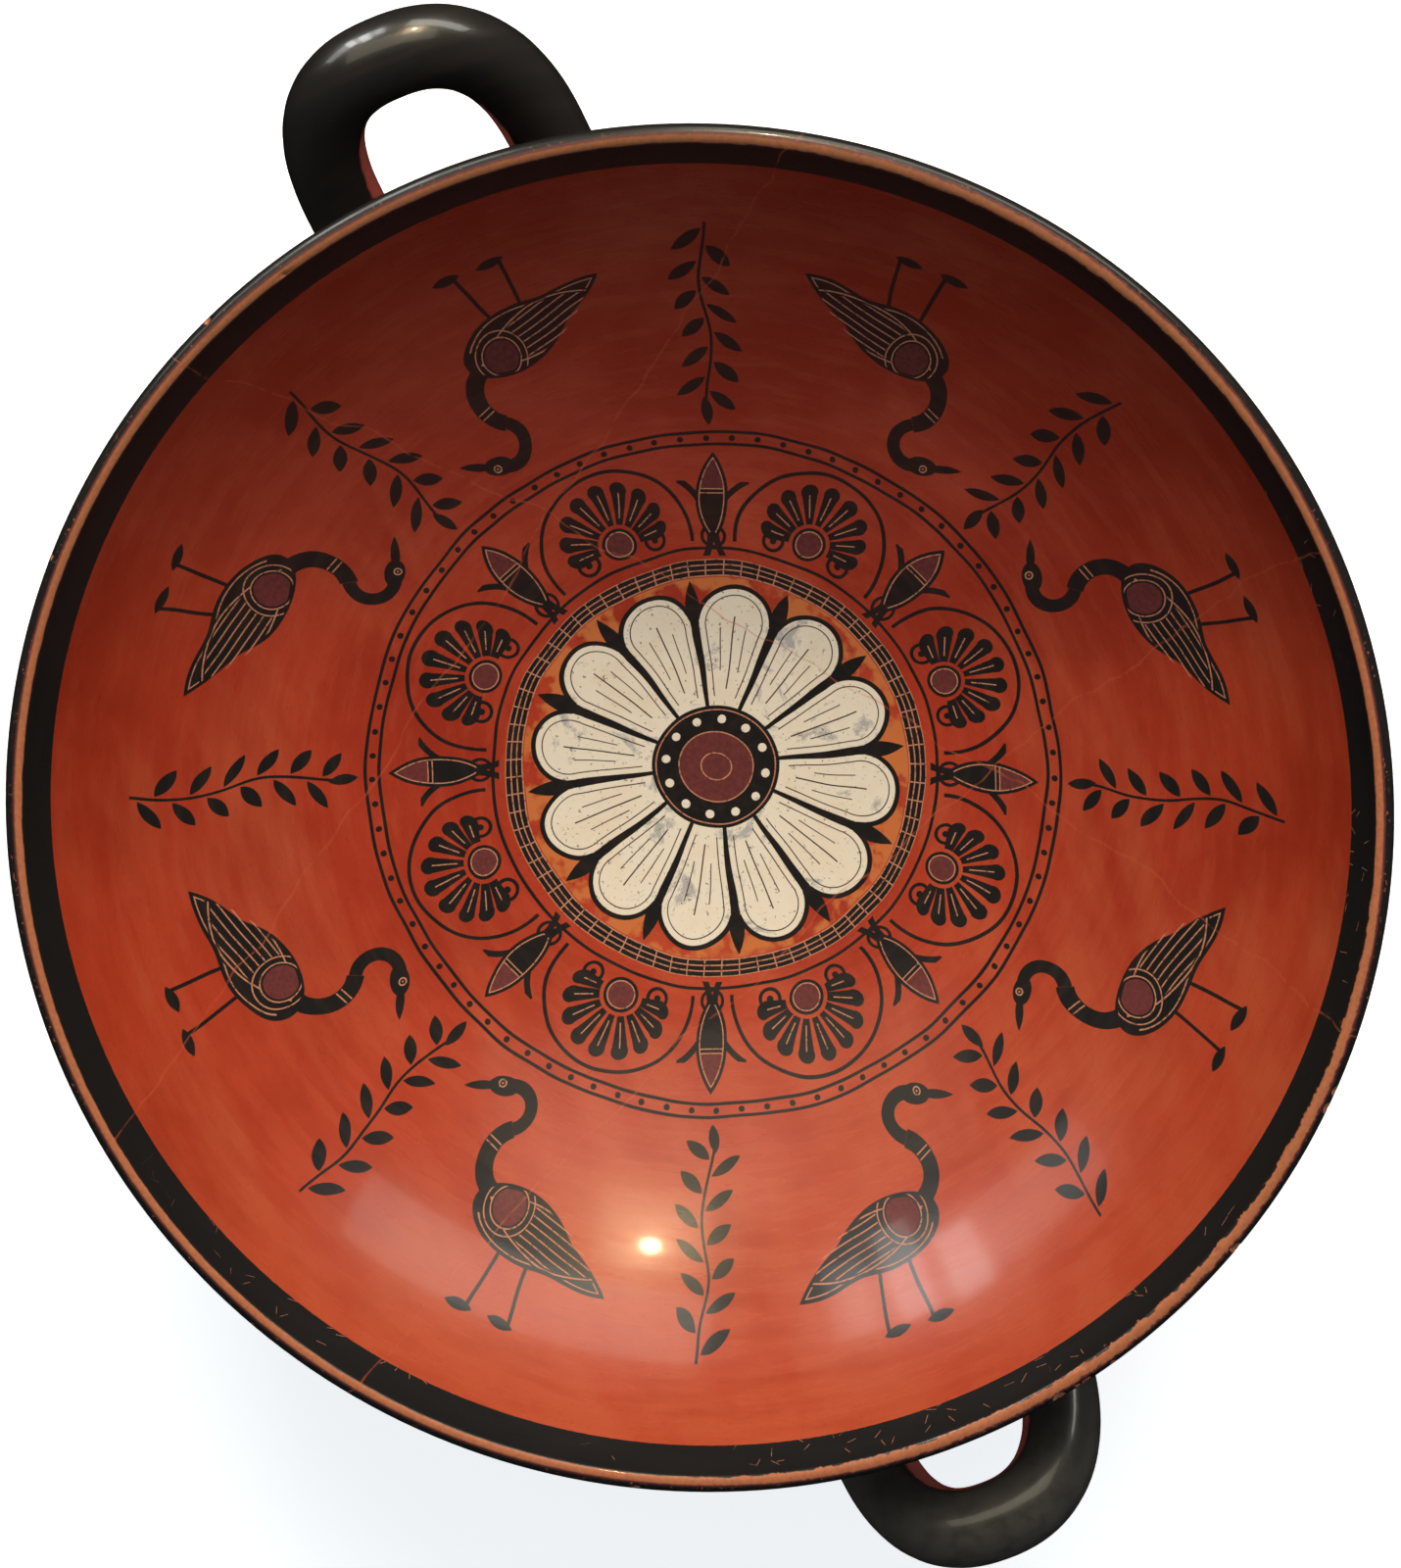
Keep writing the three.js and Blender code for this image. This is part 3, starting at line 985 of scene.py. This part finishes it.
def palmette_material(colours):
    """A chain of palmettes and lotus buds in black, with purple-red hearts, and a ring of beads outside."""
    clay = Clay("palmettes", colours)
    paint = clay.paint
    repeats = 8
    root = 59.4
    palm = clay.sector(repeats)
    reach = palm.circle(root, 0, 0)
    turn = paint.math("ARCTAN2", palm.v, palm.u - root)
    fold = paint.zigzag(turn, math.radians(11.5))
    along = paint.math("MULTIPLY_ADD", turn * turn, 1.15, reach * paint.math("COSINE", fold))
    leaf = Drawing(paint, along, reach * paint.math("SINE", fold))
    leaves = paint.least(leaf.circle(13.3, 0, 1.95), paint.most(leaf.v - leaf.u * 0.14, leaf.u - 13.3))
    leaves = paint.most(leaves, (turn - math.radians(104)) * 9, 4.9 - reach)
    heart = reach - 4.0
    frame = paint.most(abs(reach - 17.8) - 0.45, 55.4 - clay.radius)
    volute = palm.circle(57.0, 8.2, 0)
    volutes = paint.least(abs(volute - 2.3) - 0.42, volute - 0.8)
    bud = clay.sector(repeats, shift=1)
    petal = bud.leaf(66.2, 0, 11.2, 3.9)
    sepal = paint.most(abs(bud.circle(57.6, 15.0, 14.4)) - 0.75, bud.beyond(0, 70.2), bud.beyond(90, 8.6))
    cup = abs(bud.circle(56.6, 0, 2.6)) - 0.4
    rings = paint.least(abs(clay.radius - 53.6), abs(clay.radius - 79.4), abs(clay.radius - 82.4)) - 0.38
    beads = clay.sector(84).circle(80.9, 0, 0.72)
    clay.black(paint.under(paint.least(leaves, heart, frame, volutes, petal, sepal, cup, rings, beads)))
    clay.purple(paint.under(paint.least(heart + 1.1, paint.most(petal + 1.0, 68.5 - bud.u))))
    vein = paint.most(abs(petal + 0.9) - 0.14, 57.5 - bud.u)
    bar = paint.most(abs(abs(bud.u - 67.9) - 0.5) - 0.13, petal + 0.8)
    heart_ring = abs(heart + 0.9) - 0.15
    leaf_rib = paint.most(leaf.v - 0.14, leaf.u - 12.6, 6.4 - reach, (turn - math.radians(100)) * 9)
    clay.incise(paint.under(paint.least(vein, bar, heart_ring, leaf_rib)))
    clay.mended_breaks()
    return clay.finish()


def bird_material(colours):
    """Water birds in facing pairs, with scratched wings, and a leafy sprig between each two."""
    clay = Clay("birds", colours)
    paint = clay.paint
    repeats, middle_radius = 8, 110.0
    bird = clay.cell(repeats, middle_radius, mirrored=True)
    body = bird.oval(0.5, -3.2, 12.8, 7.0, 10)
    tail = bird.leaf(-12.0, -6.4, 13.0, 3.4, 14)
    body = paint.math("SMOOTH_MIN", body, tail, 4)
    low_ring = bird.circle(7.2, 7.6, 7.4)
    neck_low = paint.most(abs(low_ring) - 1.95, bird.beyond(148, -2.08))
    neck_high = paint.most(abs(bird.circle(13.77, 18.12, 5.0)) - 1.5, bird.beyond(-32, 2.08))
    head = bird.oval(17.0, 22.2, 3.5, 2.25, -10)
    beak = bird.leaf(21.6, 20.9, 4.3, 1.0, -20)
    below = paint.most(bird.v + 6, -20.6 - bird.v)
    legs = paint.least(abs(bird.beyond(10, 1.2)), abs(bird.beyond(-7, -3.4)))
    legs = paint.most(legs - 0.45, below)
    feet = paint.least(bird.leaf(6.6, -20.8, 3.4, 0.95, 3), bird.leaf(-3.9, -20.8, 3.4, 0.95, 3))
    outline = paint.least(body, neck_low, neck_high, head, beak, legs, feet)

    sprig = clay.cell(repeats, middle_radius, shift=math.pi / repeats)
    bend = sprig.u + paint.math("SINE", sprig.v * 0.2) * 1.2
    side = paint.math("SIGN", bend)
    climb = sprig.v + side * 1.7
    slot = paint.math("FLOORED_MODULO", climb + 60, 6.8) - 3.4
    blade = Drawing(paint, abs(bend), slot).leaf(3.7, 0.2, 3.7, 1.35, 36)
    blade = paint.most(blade, abs(climb - 1.2) - 20.4)
    stem = paint.most(abs(bend) - 0.34, abs(sprig.v) - 21)
    tip = sprig.leaf(1.0, 22.6, 3.4, 1.3, 95)
    clay.black(paint.under(paint.least(outline, blade, stem, tip)))

    shoulder = bird.circle(4.6, -0.6, 4.5)
    clay.purple(paint.under(paint.most(shoulder + 0.6, body + 1.0)))
    wing = bird.leaf(-5.6, -3.6, 15.5, 5.0, 12)
    wing_line = paint.most(abs(wing) - 0.16, body + 0.7, -shoulder)
    bars = paint.most(abs(abs(shoulder - 0.75) - 0.75) - 0.15, body + 0.5)
    feather = paint.zigzag(bird.beyond(102, 0), 0.80) - 0.14
    feathers = paint.most(feather, wing + 0.5, 1.9 - shoulder)
    belly = paint.most(abs(body + 0.9) - 0.13, wing * -1 + 0.6, bird.v + 4)
    eye = bird.circle(17.6, 22.7, 0)
    eye = paint.least(abs(eye - 0.8) - 0.16, eye - 0.22)
    collar = paint.most(abs(abs(bird.beyond(112, 4.0)) - 0.65) - 0.14, abs(low_ring) - 1.7, 12.4 - bird.u)
    clay.incise(paint.under(paint.least(wing_line, bars, feathers, belly, eye, collar)))
    clay.mended_breaks()
    return clay.finish()


def mouth_material(colours):
    """Coral, the black band under the lip, the bare crest and the black outer edge, all worn, with painted
    shade browning the band and darkening the crest on the side away from the key light.
    """
    clay = Clay("mouth", colours, wobble=0.2)
    paint = clay.paint
    over_lip = paint.attribute("over_lip")
    flakes = paint.noise(clay.place, 0.6, detail=4, roughness=0.75) - 0.5
    patches = paint.noise(clay.place, 0.17, detail=3, roughness=0.6) - 0.5
    rubbed_side = clay.towards(RUBBED_AZIMUTH)
    chipped_side = paint.over(clay.towards(CHIPPED_AZIMUTH), 136, 40) * 0.6
    wear = paint.most(paint.over(rubbed_side, 126, 60), chipped_side, 0.1)
    inner_edge = paint.math("MULTIPLY_ADD", patches * 0.8 + flakes * 0.4, wear * 5.0, over_lip)
    outer_edge = over_lip - wear * 0.9 + flakes * wear * 3.0
    band_middle, band_half, outer_start = -4.45, 4.55, 1.45
    band = paint.under(abs(over_lip - band_middle + flakes * 0.3), band_half)
    band = band * paint.under(inner_edge, -0.15, 0.2)
    specks = paint.over(clay.grain, 0.63, 0.05) * paint.under(over_lip, 2.8, 0.8)
    specks = specks * paint.over(patches, 0.0, 0.1)
    outer = paint.over(outer_edge, outer_start, 0.2) * (1 - specks)
    brown = paint.under(abs(outer_edge - (outer_start + 0.1)), 0.3, 0.25)
    bare_lip = paint.under(abs(over_lip - 2), 3.0)
    clay.bare(bare_lip)
    # Painted shade: the bare crest darkened on the side away from the key light.
    crest_shade = paint.over(clay.towards(SHADED_AZIMUTH), 85, 150)
    clay.base = paint.tint(crest_shade * bare_lip, clay.base, (0.54, 0.62, 0.60))
    clay.black(band, thin=0.08)
    # The black of the outer edge gets no painted shade.
    clay.shade_browning = 0.0
    clay.black(outer, thin=0.08)
    clay.purple(brown * 0.7)
    gathered = paint.over(paint.noise(clay.place, 0.035, detail=0), 0.44, 0.08)
    gathered = gathered * paint.over(rubbed_side, 0, 60) * paint.under(over_lip, -2.2, 1.0)
    strokes = scratches(clay, over_lip) * gathered
    clay.incise(strokes * band * 0.85)
    clay.mended_breaks()
    return clay.finish()


def scratches(clay, over_lip):
    """Short straight strokes that lean at random, at most one in each cell of a scattered pattern."""
    paint = clay.paint
    place = paint.join(clay.angle * 52, over_lip * 0.36)
    settings = {"voronoi_dimensions": "2D", "feature": "F1"}
    cell = paint.node("ShaderNodeTexVoronoi", settings, {"Vector": place, "Scale": 1.0, "Randomness": 1.0})
    from_heart, tone, heart = cell.all_outputs()[:3]
    lean, chance, _ = paint.parts(tone)
    lean = lean * math.pi
    across = paint.join(paint.math("SINE", lean), paint.math("COSINE", lean))
    stroke = paint.vector("DOT_PRODUCT", across, paint.vector("SUBTRACT", place, heart))
    ends = paint.under(from_heart, 0.44, 0.08) * paint.over(chance, 0.72, 0.02)
    return paint.under(abs(stroke), 0.022, 0.04) * ends


def outside_material(colours):
    """Black gloss with thin reserved lines, and rays that stand round the stem."""
    clay = Clay("outside", colours, wobble=0.3, slip="bare")
    paint = clay.paint
    ray = clay.sector(24)
    rays = paint.most(ray.v - (55 - ray.u) * 0.115, ray.u - 55, 31 - ray.u)
    zone = paint.most(clay.radius - 57, 32 - clay.radius)
    lines = paint.least(
        abs(clay.radius - 62.5) - 0.5, abs(clay.radius - 66) - 0.9, abs(clay.height - 108) - 0.55,
        abs(clay.height - 105.6) - 0.3,
    )
    reserved = paint.under(paint.least(paint.most(zone, -rays), lines))
    between_roots = paint.over(paint.attribute("between_roots"), 0.5, 0.2)
    clay.black(1 - paint.most(reserved, between_roots))
    return clay.finish(gloss=1.0, shine=1.0)


def handle_material(colours):
    """Black gloss with an olive painted sheen on the rubbed slip at the far handle's tip, and the faces that
    look into the loop left in coral.
    """
    clay = Clay("handles", colours, wobble=0.3, slip="bare")
    paint = clay.paint
    ragged = paint.noise(clay.place, 0.25, detail=4, roughness=0.65) - 0.5
    clay.lay(1.0, colours.coral, 0.45)
    along = clay.towards(0)
    far_side = paint.under(along, 0, 20)
    facing_loop = paint.attribute("loop_side") + ragged * 0.3 + far_side * 0.16
    clay.black(paint.under(facing_loop, 0.78, 0.06), thin=0.3, rough=0.24)
    # Painted sheen: the far handle's tip, rubbed, is laid in an olive that stands in for its sheen.
    tip = paint.over(abs(along), 142, 34) * paint.under(facing_loop, 0.7, 0.2)
    sheeny = paint.over(ragged, -0.2, 0.5) * (far_side * 0.85 + 0.1) * tip
    clay.lay(sheeny, colours.black_sheeny, 0.30)
    flecks = paint.over(clay.grain, 0.74, 0.02) * paint.over(ragged, 0.10, 0.1)
    clay.incise(flecks * 0.8)
    return clay.finish(gloss=1.0, shine=1.0)


def foot_material(colours):
    """Black stem and foot with a purple-red ring, and a bare edge and resting surface."""
    clay = Clay("foot", colours, wobble=0.3, slip="bare")
    paint = clay.paint
    edge = paint.most(abs(clay.height - 4.5) - 3.6, 60.5 - clay.radius)
    resting = paint.most(clay.height - 0.7, 53.5 - clay.radius)
    ring = paint.most(abs(clay.radius - 40) - 0.5, clay.height - 12.6)
    fillet = paint.most(abs(clay.height - 40.9) - 0.35, clay.radius - 30)
    clay.black(1 - paint.under(paint.least(edge, resting, ring, fillet)))
    clay.purple(paint.under(paint.most(abs(clay.height - 43.1) - 1.6, clay.radius - 30)))
    return clay.finish(gloss=1.0, shine=1.0)


def break_material(colours):
    """Fresh breaks: bare grainy clay."""
    clay = Clay("breaks", colours, slip="bare")
    return clay.finish()


MATERIAL_MAKERS = {
    "rosette": rosette_material, "palmettes": palmette_material, "birds": bird_material,
    "mouth": mouth_material, "outside": outside_material, "handles": handle_material, "foot": foot_material,
    "breaks": break_material,
}


def mark_lip(mesh, shape):
    """Notes for each vertex how far it lies over the lip: 0 at the mouth, more outwards, less inwards."""
    mouth = shape.mouth_radius
    crest_depth = 1.3 * MM  # how deep the crest reaches on the mouth's side
    inner_start, outer_start = -0.4 * MM, 2 * MM  # the crest's edges, out from the mouth
    values = []
    for vert in mesh.vertices:
        radius, height = vert.co.xy.length, vert.co.z
        down = shape.height - height
        wall_middle = mouth - 1.9 * MM + (9 * MM - down) * 0.444
        if down < crest_depth and inner_start < radius - mouth < outer_start:
            place = radius - mouth
        elif radius < wall_middle:
            place = inner_start - math.hypot(mouth - 0.5 * MM - radius, down - 1.4 * MM)
        else:
            place = shape.crest_radius - mouth + math.hypot(radius - shape.crest_radius, down)
        values.append(place / MM)
    note(mesh, "over_lip", values)


def mark_between_roots(mesh, shape):
    """Notes the patch of wall between each handle's roots, which is left bare: 1 in it and 0 outside."""
    half_width = shape.loop_half_width - 2 * MM
    lower_reach, lower_blur = 88 * MM, 14 * MM
    top, top_blur = shape.height - 14 * MM, 8 * MM
    values = []
    for vert in mesh.vertices:
        across = 3 * (1 - abs(vert.co.y) / half_width)
        outwards = (abs(vert.co.x) - lower_reach) / lower_blur
        below_top = (top - vert.co.z) / top_blur
        values.append(max(0.0, min(across, outwards, below_top, 1.0)))
    note(mesh, "between_roots", values)


# ---------------------------------------------------------------- operators

class KYLIX_OT_cup(bpy.types.Operator):
    """Make the cup: throw the bowl and foot, join the handles and paint it all"""

    bl_idname = "kylix.cup"
    bl_label = "Cup"

    def execute(self, context):
        scene = context.scene
        shape, paint = scene.kylix_shape, scene.kylix_paint
        bowl = Bowl(shape)
        materials = [MATERIAL_MAKERS[name](paint) for name in SURFACES]
        thrown = throw_cup(shape, bowl)
        cup = mesh_object("cup", thrown, materials)
        carve(cup, mesh_object("chips", lip_chips(shape), materials), "DIFFERENCE", crossing=True)
        filler = wall_filler(shape, bowl)
        handle = mesh_object("handle", roll_handle(shape, bowl), materials)
        carve(handle, mesh_object("filler", filler), "DIFFERENCE")
        other = mesh_object("other_handle", bmesh.new())
        other.data = handle.data.copy()
        other.data.transform(Matrix.Rotation(math.pi, 4, "Z"))
        carve(cup, handle, "UNION")
        carve(cup, other, "UNION")
        smear_roots(cup.data, bowl)
        mark_loop_side(cup.data, shape)
        mark_lip(cup.data, shape)
        mark_between_roots(cup.data, shape)
        lay_out_texture(cup.data, shape)
        cup.data.shade_smooth()
        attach(cup, "root")
        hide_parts("kylix")
        return {"FINISHED"}


def facing(place, target, top):
    """A matrix for an object that looks from a place at a target, with its top towards a direction."""
    back = (place - target).normalized()
    right = top.cross(back).normalized()
    matrix = Matrix((right, back.cross(right), back)).transposed().to_4x4()
    matrix.translation = place
    return matrix


def add_light(name, azimuth, elevation, distance, size, watts, tone):
    light = bpy.data.lights.new(name, "AREA")
    light.shape = "RECTANGLE"
    light.size, light.size_y = size
    light.energy = watts
    light.color = tone
    lamp = bpy.data.objects.new(name, light)
    bpy.context.scene.collection.objects.link(lamp)
    target = Vector((0, 0, 0.09))
    lamp.matrix_world = facing(target + direction(azimuth, elevation) * distance, target, Vector((0, 0, 1)))
    return lamp


class KYLIX_OT_stage(bpy.types.Operator):
    """Make the floor, the lights and the camera"""

    bl_idname = "kylix.stage"
    bl_label = "Stage"

    def execute(self, context):
        scene = context.scene
        stage = scene.kylix_stage
        bm = bmesh.new()
        bmesh.ops.create_circle(bm, cap_ends=True, segments=96, radius=6)
        paint = Paint("floor")
        tone = rgba(stage.floor_colour)
        material = paint.finish(
            Base_Color=tone, Roughness=0.7, Emission_Color=tone, Emission_Strength=stage.floor_glow
        )
        floor = mesh_object("floor", bm, [material])
        floor.visible_glossy = False

        world = bpy.data.worlds.new("studio")
        world.use_nodes = True
        background = world.node_tree.nodes["Background"]
        background.inputs["Color"].default_value = rgba(stage.sky_colour)
        background.inputs["Strength"].default_value = stage.sky_strength
        world.cycles_visibility.glossy = False  # the lights alone show in the gloss
        scene.world = world
        scene.cycles.max_bounces = 5
        scene.cycles.diffuse_bounces = 3
        scene.cycles.glossy_bounces = 0

        key = add_light("key", -29, 45, 1.6, (1.1, 0.7), 28.5, (1.0, 0.96, 0.90))
        key.visible_glossy = False
        add_light("lamp", -26, 32.5, 1.3, (0.024, 0.024), 2.7, (1.0, 0.76, 0.42))
        add_light("lamp_glow", -26, 35, 1.34, (0.34, 0.34), 1.0, (1.0, 0.80, 0.50))
        daylight = (0.97, 0.97, 0.93)
        for name, azimuth, elevation, size, watts, tone in (
            ("left_window", -42, 17, (1.5, 0.46), 6.6, (1.0, 0.97, 0.86)),
            ("right_window", 19, 16, (1.1, 0.42), 2.8, daylight),
            ("pane", 1, 17, (0.15, 0.46), 0.7, daylight),
            ("middle_pane", 9, 18, (0.14, 0.58), 1.7, daylight),
            ("narrow_pane", 16.5, 13, (0.15, 0.52), 1.6, daylight),
            ("ceiling", -12, 51, (2.2, 0.9), 4.8, (1.0, 0.88, 0.66)),
        ):
            panel = add_light(name, azimuth, elevation, 1.7, size, watts, tone)
            panel.visible_diffuse = False  # seen in the gloss alone

        camera = bpy.data.cameras.new("camera")
        camera.lens = stage.lens
        camera.sensor_width = 36
        viewer = bpy.data.objects.new("camera", camera)
        scene.collection.objects.link(viewer)
        target = Vector((9.1 * MM, -6.3 * MM, CUP_HIGH.z))
        place = target + direction(stage.view_azimuth, stage.view_elevation) * stage.view_distance
        viewer.matrix_world = facing(place, target, direction(stage.top_azimuth, 0))
        scene.camera = viewer
        scene.view_settings.view_transform = "Standard"
        return {"FINISHED"}


class KYLIX_PT_panel(bpy.types.Panel):
    """Lists the settings, with the buttons that make the cup and the stage"""

    bl_idname = "KYLIX_PT_panel"
    bl_label = "Kylix"
    bl_space_type = "VIEW_3D"
    bl_region_type = "UI"
    bl_category = "Kylix"

    def draw(self, context):
        layout = self.layout
        operators = (None, "kylix.cup", "kylix.stage")
        for settings, operator in zip(SETTINGS, operators):
            group = getattr(context.scene, settings)
            for name in group.bl_rna.properties.keys():
                if name not in ("rna_type", "name"):
                    layout.prop(group, name)
            if operator:
                layout.operator(operator)


SETTINGS = {"kylix_shape": KylixShape, "kylix_paint": KylixPaint, "kylix_stage": KylixStage}
CLASSES = (*SETTINGS.values(), KYLIX_OT_cup, KYLIX_OT_stage, KYLIX_PT_panel)


def register():
    for cls in CLASSES:
        bpy.utils.register_class(cls)
    for name, group in SETTINGS.items():
        setattr(bpy.types.Scene, name, bpy.props.PointerProperty(type=group))


def unregister():
    for name in SETTINGS:
        delattr(bpy.types.Scene, name)
    for cls in reversed(CLASSES):
        bpy.utils.unregister_class(cls)


def main():
    register()
    bpy.ops.kylix.cup()
    bpy.ops.kylix.stage()


if __name__ == "__main__":
    main()
